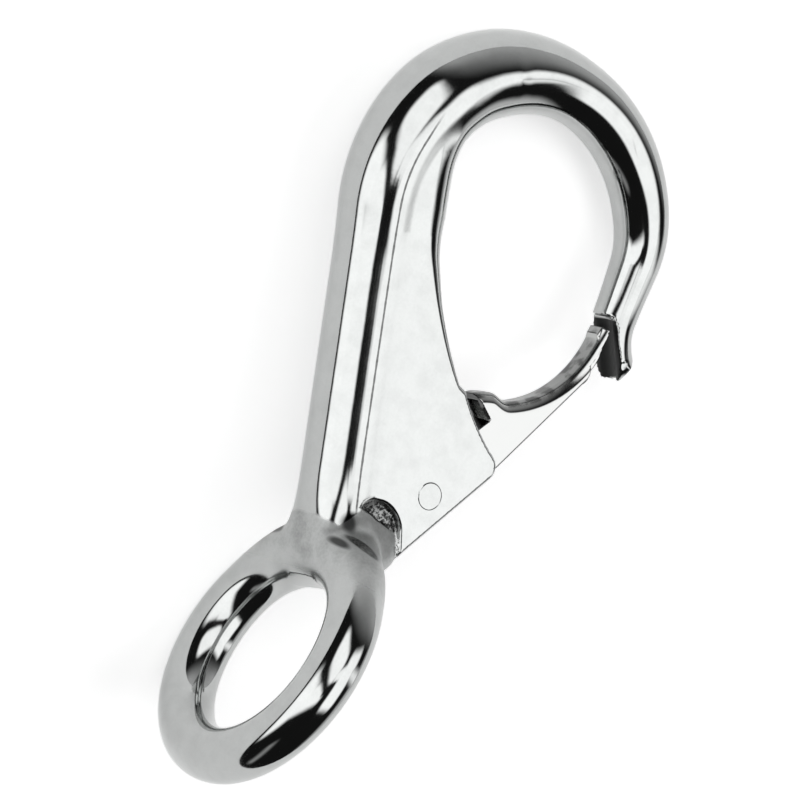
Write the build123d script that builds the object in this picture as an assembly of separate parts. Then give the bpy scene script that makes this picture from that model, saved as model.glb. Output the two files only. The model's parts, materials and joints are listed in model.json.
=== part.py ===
"""Snap hook with a fixed eye, cast in stainless steel, with a sprung gate of folded sheet.

The hook is drawn flat: X runs across it towards the nose, Y runs from the eye to the bow, and Z
rises out of its front face, with the eye's centre at the origin. At the end the whole hook is
laid down on its back as it would come to rest, with the origin under the middle of its box.
All lengths are in millimetres and all angles in degrees.
"""

import math
import os

from build123d import *

# Eye: a ring that stands square to the hook's plane
EYE_RADIUS = 14.0
EYE_STOCK_RADIUS = 3.4

# Bow: a round bar whose centre line is a straight spine, three tangent arcs and a straight arm
SPINE_RADIUS = 4.7
SPINE_LEAN = 25.0
SPINE_FOOT = Vector(-1.3, 17.0)
BOW_CENTRE = Vector(-0.2, 58.1)
BOW_RADIUS = 19.9
CROWN_RADIUS = 5.75
CROWN_THICKEST = 154.0
CROWN_END = 125.0
CROWN_END_RADIUS = 5.35
BOW_TOP = 94.0
BOW_TOP_RADIUS = 4.15
BOW_SIDE = 62.0
BOW_SIDE_RADIUS = 3.75
SHOULDER_START = 36.0
SHOULDER_START_RADIUS = 3.4
SHOULDER_BEND = 12.0
ARM_LEAN = 10.0
ARM_START_RADIUS = 3.0
ARM_LENGTH = 6.8
ARM_END_RADIUS = 2.65

# Nose: the arm flares outward into a beak, with a scooped inner face for the gate's tip
LEDGE_DEPTH = 1.1
FLARE_BEND = 8.4
FLARE_LEAN = 49.0
FLARE_LENGTH = 2.6
FLARE_RADIUS = 2.95
BEAK_LEAN = 41.0
BEAK_LENGTH = 8.4
BEAK_END_LEAN = 2.0
BEAK_END_ROUND = 2.8
SCOOP_RADIUS = 3.8
SCOOP_DEPTH = 0.4

# Web: the flat side of the spine, which forks into two cheeks round the gate
WEB_HALF_THICKNESS = 4.6
WEB_TOP_ANGLE = 150.0
CHEEK_TOP = Vector(2.4, 39.6)
CHEEK_CORNER = Vector(12.9, 33.9)
CHEEK_FOOT = Vector(6.2, 17.7)
CHEEK_EDGE_SAG = 0.6
CHEEK_CORNER_ROUND = 1.8
WEB_EDGE_ROUND = 0.7
WEB_FOOT = Vector(4.6, 20.2)
WEB_FOOT_CREST = Vector(1.4, 22.5)
WEB_FOOT_END = Vector(-2.0, 20.2)

# Neck: the ring swells towards its top, and a rounded block joins it to the spine and the web
SWELL_ANGLE = 60.0
SWELL_RADIUS = 4.3
SWELL_RISE = 0.2
NECK_LEVELS = (
    (12.8, 0.0, 3.4, 6.0),
    (16.0, 1.0, 5.8, 5.7),
    (19.2, 0.2, 5.7, 4.5),
    (23.5, -1.6, 4.2, 3.6),
)
NECK_ROUND = 0.75

# Pivot pin and the slot between the cheeks
PIN_CENTRE = Vector(5.8, 26.0)
PIN_RADIUS = 1.85
PIN_FIT = 0.01
SLOT_WIDTH = 5.0
SLOT_GAP = 0.35
STOP_GAP = 0.15

# Gate: a channel of folded sheet, open on its outer side; the fold curls round at the tip.
# Its lower end is placed from the pin and the cheeks, and its tip from the nose's ledge
GATE_TRAVEL = 32.0
GATE_WIDTH = 4.4
FOLD_ROUND = 0.8
GATE_FIT = 0.06
SHEET = 0.9
EAR_RADIUS = 3.4
THROAT_FROM_PIN = Vector(0.2, 13.7)
HUMP_FROM_THROAT = Vector(2.3, 1.9)
DIP_FROM_HUMP = Vector(2.7, 0.3)
TIP_FROM_LEDGE = Vector(-0.26, -1.66)
GATE_SAG = 2.35
HEEL_FROM_CHEEK = Vector(0.6, -0.1)
GATE_OUTER_LENGTH = 15.9
FOLD_START = 3.0
FLANGE_END_SHARE = 0.75
FLANGE_END_SAG = 0.8
LIP_FROM_TIP = Vector(0.7, 0.1)
LIP_SAG = 0.2
CURL_FROM_LIP = Vector(0.9, -5.9)
CURL_SAG = 0.7
WINDOW_FROM_PIN = Vector(3.8, 12.6)
WINDOW_LEAN = 155.0
WINDOW_LENGTH = 4.4
WINDOW_HEIGHT = 2.4

# Construction: the spine's last stretch, from which its thickness starts to change, and how
# close an edge's middle lies to the curve that it was drawn from
LEAD_IN = 5.0
NEAR = 0.01

# Rest: how widely and how finely the pose is sought in which the hook comes to rest
REST_TOLERANCE = 0.02
REST_FACET_TURN = 0.1
REST_REACH = 20.0
REST_ACCURACY = 0.02

# Spring: a torsion spring round the pin, from the slot's floor to the tabs folded in at the windows
SPRING_WIRE = 0.6
SPRING_CLEARANCE = 0.2
SPRING_PITCH = 0.66
SPRING_TURNS = 2
FLOOR_LEG_LEAN = 17.7
FLOOR_LEG_LENGTH = 3.2
TAB_REACH = 2.0
TAB_CONTACT = 2.1
LEG_GAP = 0.05


def polar(angle, radius=1.0):
    """A flat vector of that length, at that angle from the X axis."""
    return Vector(radius * math.cos(math.radians(angle)), radius * math.sin(math.radians(angle)))


def upright_cylinder(centre, radius, height):
    """A cylinder square to the hook's plane, with its middle in that plane."""
    return Pos(centre) * Cylinder(radius, height)


def slab(outline, thickness):
    """A flat plate of that outline, with its middle in the hook's plane."""
    return extrude(make_face(outline), thickness / 2, both=True)


def sagged(start, end, sag):
    """An arc between two points that passes that far to the left of its chord's middle."""
    chord = end - start
    side = Vector(-chord.Y, chord.X).normalized()
    return ThreePointArc(start, (start + end) * 0.5 + side * sag, end)


def rim_edges(plate, curves, height):
    """The plate's edges on both its faces whose middles lie on one of those flat curves."""
    found = []
    for edge in plate.edges():
        middle = edge @ 0.5
        flat = Vector(middle.X, middle.Y)
        on_face = abs(abs(middle.Z) - height) < NEAR
        if on_face and min(curve.distance_to(flat) for curve in curves) < NEAR:
            found.append(edge)
    return found


# The bow's centre line: the spine's lean and foot are given, and the crown's arc is whatever
# joins the spine to the bow's own circle smoothly

spine_along = polar(90 + SPINE_LEAN)
spine_across = polar(SPINE_LEAN)
crown_out = polar(CROWN_END)
reach = (BOW_CENTRE - SPINE_FOOT).dot(spine_across)
share = crown_out.dot(spine_across)
crown_bend = (reach + BOW_RADIUS * share) / (1 + share)
crown_centre = BOW_CENTRE + crown_out * (BOW_RADIUS - crown_bend)
spine_top = crown_centre - spine_across * crown_bend
shoulder_centre = BOW_CENTRE + polar(SHOULDER_START, BOW_RADIUS - SHOULDER_BEND)
arm_top = shoulder_centre + polar(ARM_LEAN, SHOULDER_BEND)
arm_along = polar(ARM_LEAN - 90)
arm_across = polar(ARM_LEAN)
arm_end = arm_top + arm_along * ARM_LENGTH
flare_centre = arm_end + arm_across * FLARE_BEND
flare_turn = flare_centre - polar(FLARE_LEAN, FLARE_BEND)
flare_end = flare_turn + polar(FLARE_LEAN - 90, FLARE_LENGTH)
ledge = arm_end - arm_across * (ARM_END_RADIUS - LEDGE_DEPTH)

spine_lead = spine_top - spine_along * LEAD_IN
lead_line = Line(spine_lead, spine_top)
crown_arc = CenterArc(crown_centre, crown_bend, 180 + SPINE_LEAN, CROWN_END - 180 - SPINE_LEAN)
bow_arc = CenterArc(BOW_CENTRE, BOW_RADIUS, CROWN_END, SHOULDER_START - CROWN_END)
shoulder_arc = CenterArc(shoulder_centre, SHOULDER_BEND, SHOULDER_START, ARM_LEAN - SHOULDER_START)
arm_line = Line(arm_top, arm_end)
flare_arc = CenterArc(flare_centre, FLARE_BEND, 180 + ARM_LEAN, FLARE_LEAN - ARM_LEAN)


def make_bar():
    """The round bar of the spine, the crown, the bow and the nose arm, thick at the crown."""
    crown_share = (180 + SPINE_LEAN - CROWN_THICKEST) / (180 + SPINE_LEAN - CROWN_END)
    top_share = (CROWN_END - BOW_TOP) / (CROWN_END - SHOULDER_START)
    side_share = (CROWN_END - BOW_SIDE) / (CROWN_END - SHOULDER_START)
    stations = [
        (lead_line, 0, SPINE_RADIUS),
        (lead_line, 1, SPINE_RADIUS),
        (crown_arc, crown_share, CROWN_RADIUS),
        (crown_arc, 1, CROWN_END_RADIUS),
        (bow_arc, top_share, BOW_TOP_RADIUS),
        (bow_arc, side_share, BOW_SIDE_RADIUS),
        (bow_arc, 1, SHOULDER_START_RADIUS),
        (shoulder_arc, 1, ARM_START_RADIUS),
        (arm_line, 1, ARM_END_RADIUS),
    ]
    rings = [(edge ^ share) * Circle(radius) for edge, share, radius in stations]
    curves = (lead_line, crown_arc, bow_arc, shoulder_arc, arm_line)
    path = Wire([edge for curve in curves for edge in curve.edges()])
    bow = sweep(rings, path=path, multisection=True)
    flare_path = Wire([*flare_arc.edges(), *Line(flare_turn, flare_end).edges()])
    flare_rings = [(flare_arc ^ 0) * Circle(ARM_END_RADIUS), (flare_arc ^ 1) * Circle(FLARE_RADIUS)]
    flare_rings.append(Pos(flare_end - flare_turn) * flare_rings[-1])
    flare = sweep(flare_rings, path=flare_path, multisection=True)
    spine_run = Line(SPINE_FOOT, spine_lead)
    spine = extrude((spine_run ^ 0) * Circle(SPINE_RADIUS), spine_run.length)
    return bow + spine + flare


def make_web():
    """The flat side of the spine, out to the opening, the cheeks' edge and the neck."""
    web_top = crown_centre + polar(WEB_TOP_ANGLE, crown_bend)
    web_crest = crown_centre + polar(WEB_TOP_ANGLE, crown_bend - SPINE_RADIUS)
    cheek_top = sagged(CHEEK_TOP, CHEEK_CORNER, -CHEEK_EDGE_SAG)
    opening = TangentArc(CHEEK_TOP, web_crest, tangent=(cheek_top % 0) * -1)
    cheek_side = Line(CHEEK_CORNER, CHEEK_FOOT)
    outline = [
        Line(SPINE_FOOT, spine_top),
        CenterArc(crown_centre, crown_bend, 180 + SPINE_LEAN, WEB_TOP_ANGLE - 180 - SPINE_LEAN),
        Line(web_top, web_crest),
        opening,
        cheek_top,
        cheek_side,
        Line(CHEEK_FOOT, WEB_FOOT),
        ThreePointArc(WEB_FOOT, WEB_FOOT_CREST, WEB_FOOT_END),
        Line(WEB_FOOT_END, SPINE_FOOT),
    ]
    web = slab(outline, 2 * WEB_HALF_THICKNESS)
    corner = web.edges().filter_by(Axis.Z).sort_by_distance(CHEEK_CORNER)[0]
    web = fillet(corner, CHEEK_CORNER_ROUND)
    rims = rim_edges(web, [opening, cheek_top, cheek_side], WEB_HALF_THICKNESS)
    return fillet(rims, WEB_EDGE_ROUND)


def make_gate_seat():
    """What is cut from the nose: the step under the ledge, the beak's end and its inner scoop."""
    beak_along = polar(BEAK_LEAN - 90)
    inward = polar(BEAK_LEAN + 180)
    tip = ledge + beak_along * BEAK_LENGTH
    tip_side = tip + polar(90 - BEAK_END_LEAN, BEAK_LENGTH)
    below = Vector(0, -BOW_RADIUS)
    beside = Vector(BOW_RADIUS, 0)
    corner = ledge - arm_across * BOW_RADIUS
    points = [ledge, tip, tip_side, tip_side + beside, tip + beside + below, corner + below, corner]
    sides = [Line(start, end) for start, end in zip(points, points[1:] + points[:1])]
    step = slab(sides, 4 * ARM_END_RADIUS)
    face = Plane(origin=ledge, x_dir=beak_along, z_dir=-inward)
    round_start = face * Pos(BEAK_LENGTH - BEAK_END_ROUND, 0, 0)
    across = 4 * BEAK_END_ROUND
    tongue = round_start * Cylinder(BEAK_END_ROUND, across)
    past_tongue = round_start * Pos(BEAK_END_ROUND, 0, 0) * Box(2 * BEAK_END_ROUND, across, across)
    scoop_middle = face * Pos(BOW_RADIUS, 0, SCOOP_DEPTH - SCOOP_RADIUS) * Rot(0, 90, 0)
    scoop = scoop_middle * Cylinder(SCOOP_RADIUS, 2 * BOW_RADIUS - 2 * SCOOP_DEPTH)
    return step + (past_tongue - tongue) + scoop


def make_eye():
    """The ring, thicker towards its top, and the block that joins it to the spine and the web."""
    ring = Rot(0, 90, 0) * Torus(EYE_RADIUS, EYE_STOCK_RADIUS)
    flat_side = polar(90 - SWELL_ANGLE, EYE_RADIUS)
    side = Vector(0, flat_side.Y, flat_side.X)
    crest = Vector(0, EYE_RADIUS + SWELL_RISE, 0)
    arc = ThreePointArc(side, crest, Vector(side.X, side.Y, -side.Z))
    swell_radii = ((0, EYE_STOCK_RADIUS), (0.5, SWELL_RADIUS), (1, EYE_STOCK_RADIUS))
    swell_rings = [(arc ^ share) * Circle(radius) for share, radius in swell_radii]
    swell = sweep(swell_rings, path=arc, multisection=True)
    levels = [
        Plane(origin=(shift, level, 0), x_dir=(1, 0, 0), z_dir=(0, 1, 0))
        * RectangleRounded(2 * width, 2 * depth, NECK_ROUND * min(width, depth))
        for level, shift, width, depth in NECK_LEVELS
    ]
    return ring + swell + loft(levels)


cheek_along = (CHEEK_CORNER - CHEEK_FOOT).normalized()
cheek_out = Vector(cheek_along.Y, -cheek_along.X)


def turned(point, angle):
    """A flat point carried round the pivot, counter-clockwise as seen from the front."""
    arm = point - PIN_CENTRE
    return PIN_CENTRE + Vector(
        arm.X * math.cos(math.radians(angle)) - arm.Y * math.sin(math.radians(angle)),
        arm.X * math.sin(math.radians(angle)) + arm.Y * math.cos(math.radians(angle)),
    )


# The gate's inner edge inside the slot leaves its ear at a tangent and runs up to its throat
gate_throat = PIN_CENTRE + THROAT_FROM_PIN
throat_angle = math.degrees(math.atan2(THROAT_FROM_PIN.Y, THROAT_FROM_PIN.X))
ear_turn = math.degrees(math.acos(EAR_RADIUS / THROAT_FROM_PIN.length))
ear_touch = PIN_CENTRE + polar(throat_angle + ear_turn, EAR_RADIUS)
inner_edge = (gate_throat - ear_touch).normalized()
inner_side = Vector(-inner_edge.Y, inner_edge.X)


def make_slot():
    """The space between the cheeks; its floor stops the gate when it is fully open."""
    stop = inner_side * STOP_GAP
    floor_foot = turned(ear_touch + stop, GATE_TRAVEL)
    floor_top = turned(gate_throat + stop + inner_edge * EAR_RADIUS * 2, GATE_TRAVEL)
    room = EAR_RADIUS + SLOT_GAP
    outside = cheek_out * EYE_RADIUS
    below = PIN_CENTRE - cheek_along * room
    points = [
        floor_top,
        floor_foot,
        below,
        below + outside,
        CHEEK_CORNER + outside + cheek_along * EYE_RADIUS,
        floor_top + cheek_along * EYE_RADIUS,
    ]
    sides = [Line(start, end) for start, end in zip(points, points[1:] + points[:1])]
    return slab(sides, SLOT_WIDTH) + upright_cylinder(PIN_CENTRE, room, SLOT_WIDTH)


def make_hook_body():
    """The whole casting, with the slot and the pin's hole."""
    eye = make_eye()
    body = make_web() + eye - make_slot()
    body = body + (make_bar() - make_gate_seat())
    return body - upright_cylinder(PIN_CENTRE, PIN_RADIUS + PIN_FIT, 4 * SPINE_RADIUS)


def make_pin():
    """The pin, flush with both cheeks."""
    return upright_cylinder(PIN_CENTRE, PIN_RADIUS, 2 * WEB_HALF_THICKNESS)


# The gate's outer edge runs from its heel at the cheeks towards the curl's end under the nose
gate_hump = gate_throat + HUMP_FROM_THROAT
gate_dip = gate_hump + DIP_FROM_HUMP
gate_tip = ledge + TIP_FROM_LEDGE
curl_lip = gate_tip + LIP_FROM_TIP
curl_end = curl_lip + CURL_FROM_LIP
gate_heel = CHEEK_CORNER + HEEL_FROM_CHEEK
gate_outer_end = gate_heel + (curl_end - gate_heel).normalized() * GATE_OUTER_LENGTH
window_corner = PIN_CENTRE + WINDOW_FROM_PIN
window_along = polar(WINDOW_LEAN)
window_down = polar(WINDOW_LEAN + 90)


def gate_inner_edges():
    """The gate's inner outline, from the fold's start in the slot up to its tip."""
    rise = sagged(gate_dip, gate_tip, -GATE_SAG)
    hump = Spline(gate_throat, gate_hump, gate_dip, tangents=[inner_edge, rise % 0])
    return Line(ear_touch + inner_edge * FOLD_START, gate_throat), hump, rise


def inset(curve, share):
    """The point one sheet's thickness to the right of a flat curve, at that share of it."""
    along = curve % share
    return (curve @ share) + Vector(along.Y, -along.X) * SHEET


def make_fold_face():
    """The fold seen edge on: the gate's inner outline, one sheet thick."""
    run, hump, rise = gate_inner_edges()
    start = inset(run, 0)
    throat = inset(run, 1)
    dip = inset(rise, 0)
    hump_points = [inset(hump, share) for share in (0.25, 0.5, 0.75)]
    end = inset(rise, 1)
    back = [
        Line(rise @ 1, end),
        ThreePointArc(end, inset(rise, 0.5), dip),
        Spline(throat, *hump_points, dip, tangents=[inner_edge, rise % 0]),
        Line(throat, start),
        Line(start, run @ 0),
    ]
    return make_face([run, hump, rise, *back])


def make_curl():
    """The end of the fold, curled round the gate's tip as far as its outer edge."""
    down = Vector(0, -SHEET)
    inward = Vector(-SHEET, 0)
    lip_inside = curl_lip + inward + down
    outline = [
        sagged(gate_tip, curl_lip, LIP_SAG),
        sagged(curl_lip, curl_end, CURL_SAG),
        Line(curl_end, curl_end + inward),
        sagged(curl_end + inward, lip_inside, -CURL_SAG),
        Line(lip_inside, gate_tip + down),
        Line(gate_tip + down, gate_tip),
    ]
    return slab(outline, GATE_WIDTH - 2 * SHEET)


def make_gate():
    """The gate: two flanges, the fold between them, its curled tip and the spring's tabs."""
    run, hump, rise = gate_inner_edges()
    flange_top = rise @ FLANGE_END_SHARE
    heel_arm = gate_heel - PIN_CENTRE
    heel_turn = math.acos(EAR_RADIUS / heel_arm.length)
    heel_angle = math.degrees(math.atan2(heel_arm.Y, heel_arm.X) - heel_turn)
    heel_touch = PIN_CENTRE + polar(heel_angle, EAR_RADIUS)
    outline = [
        Line(ear_touch, gate_throat),
        hump,
        rise.trim(0, FLANGE_END_SHARE),
        sagged(flange_top, gate_outer_end, FLANGE_END_SAG),
        Line(gate_outer_end, gate_heel),
        Line(gate_heel, heel_touch),
        ThreePointArc(heel_touch, PIN_CENTRE + polar(heel_angle - 90, EAR_RADIUS), ear_touch),
    ]
    inner_width = GATE_WIDTH - 2 * SHEET
    window_end = Plane(origin=window_corner, x_dir=window_along, z_dir=(0, 0, 1))
    window = window_end * Pos(WINDOW_LENGTH / 2, WINDOW_HEIGHT / 2, 0)
    window = window * Box(WINDOW_LENGTH, WINDOW_HEIGHT, 2 * GATE_WIDTH)
    fold_face = make_fold_face()
    blank = slab(outline, GATE_WIDTH) + extrude(fold_face, GATE_WIDTH / 2, both=True)
    bends = rim_edges(blank, [run, hump, rise], GATE_WIDTH / 2)
    blank = fillet(bends, FOLD_ROUND)
    hollow = slab(outline, inner_width) - extrude(fold_face, GATE_WIDTH, both=True)
    tab = window_end * Pos(-SHEET / 2, TAB_REACH / 2, 0) * Box(SHEET, TAB_REACH, GATE_WIDTH - SHEET)
    gate = blank - hollow - window + make_curl() + tab
    return gate - upright_cylinder(PIN_CENTRE, PIN_RADIUS + GATE_FIT, 2 * GATE_WIDTH)


def make_spring():
    """The spring: a coil round the pin and two straight legs."""
    coil_radius = PIN_RADIUS + SPRING_CLEARANCE + SPRING_WIRE / 2
    floor_lean = math.degrees(math.atan2(inner_edge.Y, inner_edge.X)) + GATE_TRAVEL + FLOOR_LEG_LEAN
    start_angle = floor_lean + 90
    contact = window_corner + window_down * TAB_CONTACT + window_along * (SPRING_WIRE / 2 + LEG_GAP)
    contact_arm = contact - PIN_CENTRE
    contact_angle = math.degrees(math.atan2(contact_arm.Y, contact_arm.X))
    end_angle = contact_angle - math.degrees(math.acos(coil_radius / contact_arm.length))
    sweep_angle = end_angle + 360 * (SPRING_TURNS + 1) - start_angle
    height = SPRING_PITCH * sweep_angle / 360
    low = Vector(0, 0, -height / 2)
    high = Vector(0, 0, height / 2)
    coil_start = PIN_CENTRE + polar(start_angle, coil_radius) + low
    coil_end = PIN_CENTRE + polar(end_angle, coil_radius) + high
    helix = Pos(PIN_CENTRE + low) * Rot(0, 0, start_angle) * Helix(SPRING_PITCH, height, coil_radius)
    floor_leg = Line(coil_start + polar(floor_lean, FLOOR_LEG_LENGTH), coil_start)
    gate_leg = Line(coil_end, contact + high)
    path = Wire([*floor_leg.edges(), *helix.edges(), *gate_leg.edges()])
    section = (floor_leg ^ 0) * Circle(SPRING_WIRE / 2)
    return sweep(section, path=path, transition=Transition.TRANSFORMED, is_frenet=True)


def make_parts():
    """Every piece under its own name, in the hook's flat frame."""
    return {
        "hook_body": make_hook_body(),
        "gate": make_gate(),
        "pivot_pin": make_pin(),
        "gate_spring": make_spring(),
    }


def weight_height(points, centre, tilt, roll):
    """The height of the weight over the table, after a roll about Y and then a tilt about X."""
    up_x = -math.sin(math.radians(roll)) * math.cos(math.radians(tilt))
    up_y = math.sin(math.radians(tilt))
    up_z = math.cos(math.radians(roll)) * math.cos(math.radians(tilt))
    lowest = min(up_x * x + up_y * y + up_z * z for x, y, z in points)
    return up_x * centre.X + up_y * centre.Y + up_z * centre.Z - lowest


def lowest_between(height_at, low, high):
    """The angle in that range at which the height is least, found by closing in on it."""
    while high - low > REST_ACCURACY:
        third = (high - low) / 3
        if height_at(low + third) < height_at(high - third):
            high = high - third
        else:
            low = low + third
    return (low + high) / 2


def find_rest(parts):
    """The tilt and roll at which the hook, lying on its back, holds its weight lowest."""
    weight = sum(shape.volume for shape in parts.values())
    centre = sum((shape.center() * shape.volume for shape in parts.values()), Vector()) / weight
    vertices = parts["hook_body"].tessellate(REST_TOLERANCE, REST_FACET_TURN)[0]
    points = [(vertex.X, vertex.Y, vertex.Z) for vertex in vertices if vertex.Z < -PIN_RADIUS]

    def best_roll(tilt):
        def height_at(roll):
            return weight_height(points, centre, tilt, roll)

        return lowest_between(height_at, -REST_REACH, REST_REACH)

    def lowest_at(tilt):
        return weight_height(points, centre, tilt, best_roll(tilt))

    tilt = lowest_between(lowest_at, -REST_REACH, 0)
    return tilt, best_roll(tilt)


def lay_down(parts):
    """Every piece laid down at rest, with the origin under the middle of the whole hook's box."""
    tilt, roll = find_rest(parts)
    laid = {name: Rot(tilt, 0, 0) * Rot(0, roll, 0) * shape for name, shape in parts.items()}
    box = laid["hook_body"].bounding_box()
    centre = box.center()
    return {name: Pos(-centre.X, -centre.Y, -box.min.Z) * shape for name, shape in laid.items()}


os.makedirs("parts", exist_ok=True)
for part_name, part_shape in lay_down(make_parts()).items():
    export_step(part_shape, f"parts/{part_name}.step")
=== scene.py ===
"""The looks of a cast snap hook with a fixed eye and a sprung gate of folded sheet.

The hook's smooth forms are worked out as distances from named curves and solids, in millimetres
in the hook's own flat frame: X across it towards the nose, Y from the eye to the bow and Z out of
its front face, with the eye's centre at the origin. Each form is then skinned with a fine mesh.
"""

import json
import math

import bpy
import numpy as np
from mathutils import Matrix, Vector


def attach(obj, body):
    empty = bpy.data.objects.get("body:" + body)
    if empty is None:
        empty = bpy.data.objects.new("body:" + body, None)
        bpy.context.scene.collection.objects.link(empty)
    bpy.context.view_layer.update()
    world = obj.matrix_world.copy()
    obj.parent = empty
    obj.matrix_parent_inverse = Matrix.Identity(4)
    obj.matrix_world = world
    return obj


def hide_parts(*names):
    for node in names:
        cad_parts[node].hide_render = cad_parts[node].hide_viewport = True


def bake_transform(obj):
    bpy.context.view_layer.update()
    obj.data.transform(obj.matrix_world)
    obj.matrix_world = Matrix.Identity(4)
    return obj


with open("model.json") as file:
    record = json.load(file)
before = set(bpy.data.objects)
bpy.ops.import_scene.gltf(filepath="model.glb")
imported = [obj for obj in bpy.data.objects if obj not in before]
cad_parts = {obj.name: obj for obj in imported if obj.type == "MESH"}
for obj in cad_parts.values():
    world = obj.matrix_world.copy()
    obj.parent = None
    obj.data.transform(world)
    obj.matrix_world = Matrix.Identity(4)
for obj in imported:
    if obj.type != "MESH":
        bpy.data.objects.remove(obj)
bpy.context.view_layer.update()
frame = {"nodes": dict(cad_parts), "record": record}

MM = 0.001

# Eye, a ring square to the hook's plane that swells where the neck grows out of it
EYE_RADIUS = 14.0
EYE_STOCK_RADIUS = 3.4
SWELL_RADIUS = 4.3
SWELL_RISE = 0.2
SWELL_ANGLE = 60.0

# Bow, a round bar that is thickest at the crown
SPINE_RADIUS = 4.7
CROWN_RADIUS = 5.75
SHOULDER_RADIUS = 3.4
ARM_RADIUS = 3.0
SPINE_LEAN = 25.0
SPINE_FOOT = np.array((-1.3, 17.0))
BOW_CENTRE = np.array((-0.2, 58.1))
BOW_RADIUS = 19.9
CROWN_END = 125.0
SHOULDER_START = 36.0
SHOULDER_BEND = 12.0
ARM_LEAN = 10.0
ARM_LENGTH = 6.8
BAR_SMOOTHING = 2.5

# Nose
LEDGE_DEPTH = 1.1
ARM_END_RADIUS = 2.65
FLARE_BEND = 8.4
FLARE_LEAN = 49.0
FLARE_LENGTH = 2.6
FLARE_RADIUS = 2.95
BEAK_LEAN = 41.0
BEAK_LENGTH = 8.4
BEAK_END_LEAN = 2.0
BEAK_END_ROUND = 2.8
SCOOP_RADIUS = 3.8
SCOOP_DEPTH = 0.4

# Web and cheeks
WEB_HALF_THICKNESS = 4.6
CHEEK_TOP = np.array((2.4, 39.6))
CHEEK_CORNER = np.array((12.9, 33.9))
CHEEK_FOOT = np.array((6.2, 17.7))
WEB_FLAT_EDGE = np.array(((-16.1, 67.2), (-16.5, 61.5), (-14.0, 55.2), (-9.7, 49.0), (2.0, 39.1)))
WEB_FLAT_LEAN = -31.0
WEB_TIP_ANGLE = 128.0
CHEEK_EDGE_SAG = 0.6
CHEEK_CORNER_ROUND = 1.8
WEB_EDGE_ROUND = 0.5
WEB_HALVES = ((30.0, 4.6), (36.0, 4.66), (40.0, 4.85), (46.0, 5.1), (52.0, 5.25))
WEB_RIM_ROUNDS = ((38.5, 0.55), (41.0, 1.0), (46.0, 1.6), (50.3, 2.7), (55.0, 4.3), (58.0, 4.59))
WEB_FOOT = np.array((4.6, 20.2))
WEB_FOOT_END = np.array((-2.0, 20.2))
WEB_FOOT_SAG = 1.9

# Neck, as levels along Y with a shift in X, a half width and a half depth
NECK_LEVELS = np.array((
    (10.5, 0.0, 0.8, 2.0),
    (12.5, 0.0, 3.2, 4.6),
    (14.5, 0.6, 5.1, 5.6),
    (17.0, 1.0, 6.0, 5.2),
    (19.2, 0.5, 5.8, 4.4),
    (21.5, -0.5, 5.0, 3.8),
    (25.0, -1.8, 4.0, 3.0),
))
NECK_ROUND = 0.6
NECK_SMOOTHING = 0.9

# Foot: a rough dish, as cast, between the flat of the web and the neck
DISH_CENTRE = np.array((1.3, 19.9))
DISH_HALF_LENGTH = 3.2
DISH_RISE = 2.2
DISH_DEPTH = 1.15
DISH_LIFT = 0.35

# Pivot, slot and gate
PIN_CENTRE = np.array((5.8, 26.0))
PIN_RADIUS = 1.85
PIN_PROUD = 0.07
PIN_EDGE_ROUND = 0.36
SLOT_HALF_WIDTH = 2.5
SLOT_GAP = 0.35
STOP_GAP = 0.15
GATE_TRAVEL = 32.0
GATE_HALF_WIDTH = 2.2
FOLD_ROUND = 1.5
GATE_FIT = 0.06
SHEET = 0.9
SHEET_EDGE_ROUND = 0.26
EAR_RADIUS = 3.4
GATE_THROAT = np.array((6.0, 39.7))
GATE_HUMP = np.array((8.3, 41.6))
GATE_DIP = np.array((11.0, 41.9))
GATE_TIP = np.array((17.4, 56.2))
GATE_SAG = 2.35
GATE_HEEL = np.array((13.5, 33.8))
GATE_OUTER_LEAN = 18.4
GATE_OUTER_LENGTH = 15.9
FOLD_START = 3.0
FLANGE_END_SHARE = 0.75
FLANGE_END_SAG = 0.8
CURL_LIP = np.array((18.1, 56.3))
CURL_LIP_SAG = 0.2
CURL_END = np.array((19.0, 50.4))
CURL_SAG = 0.7
WINDOW_CORNER = np.array((9.6, 38.6))
WINDOW_LEAN = 155.0
WINDOW_LENGTH = 4.4
WINDOW_HEIGHT = 2.4
WINDOW_ROUND = 0.35
TAB_REACH = 2.0

# Spring
SPRING_WIRE = 0.6
SPRING_CLEARANCE = 0.2
SPRING_PITCH = 0.66
SPRING_TURNS = 2
FLOOR_LEG_LEAN = 17.7
FLOOR_LEG_LENGTH = 3.2
TAB_CONTACT = 2.1
LEG_GAP = 0.05

# Fillets where the casting's forms run into one another
NECK_FILLET = 2.0
SPINE_FILLET = 2.5
WEB_FILLET = 0.8
NOSE_EDGE = 0.25
STEP_EDGE = 0.3
SCOOP_EDGE = 0.2
DISH_EDGE = 0.3
SLOT_EDGE = 0.15
SLOT_NEAR = 3.0
SLOT_ROUND = 0.1
FINE_EDGE = 0.05

# Small radii of the pressed gate
SHEET_INNER_EDGE = 0.08
CURL_ROUND = 0.2
CURL_FILLET = 0.3
WINDOW_EDGE = 0.12
TAB_ROUND = 0.1

# The painted shade line along the fine crease on the crest of the spine, where the flat of the web begins
CREASE_OFFSET = 0.12
CREASE_WIDTH = 0.14
CREASE_VEER_START = 8.0
CREASE_VEER = 0.03

# Where the spine's polish ends above the neck, the web's polished corner, and the painted shade spots in the
# hollows where the spine, neck and ring meet
SPINE_FOOT_EDGE = (-3.6, 16.4)
SPINE_FOOT_SLOPE = 1.8
WEB_CORNER_SLOPE = 1.64
DIMPLE_CENTRE = (-1.3, 15.2)
DIMPLE_HALF_LENGTH = 1.8
DIMPLE_HALF_WIDTH = 0.65
DIMPLE_LEAN = -12.0
NOOK_CENTRE = (-2.7, 17.3)
NOOK_RADIUS = 0.95
LOW_NOOK_CENTRE = (-3.5, 14.4)
LOW_NOOK_RADIUS = 0.6
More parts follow.
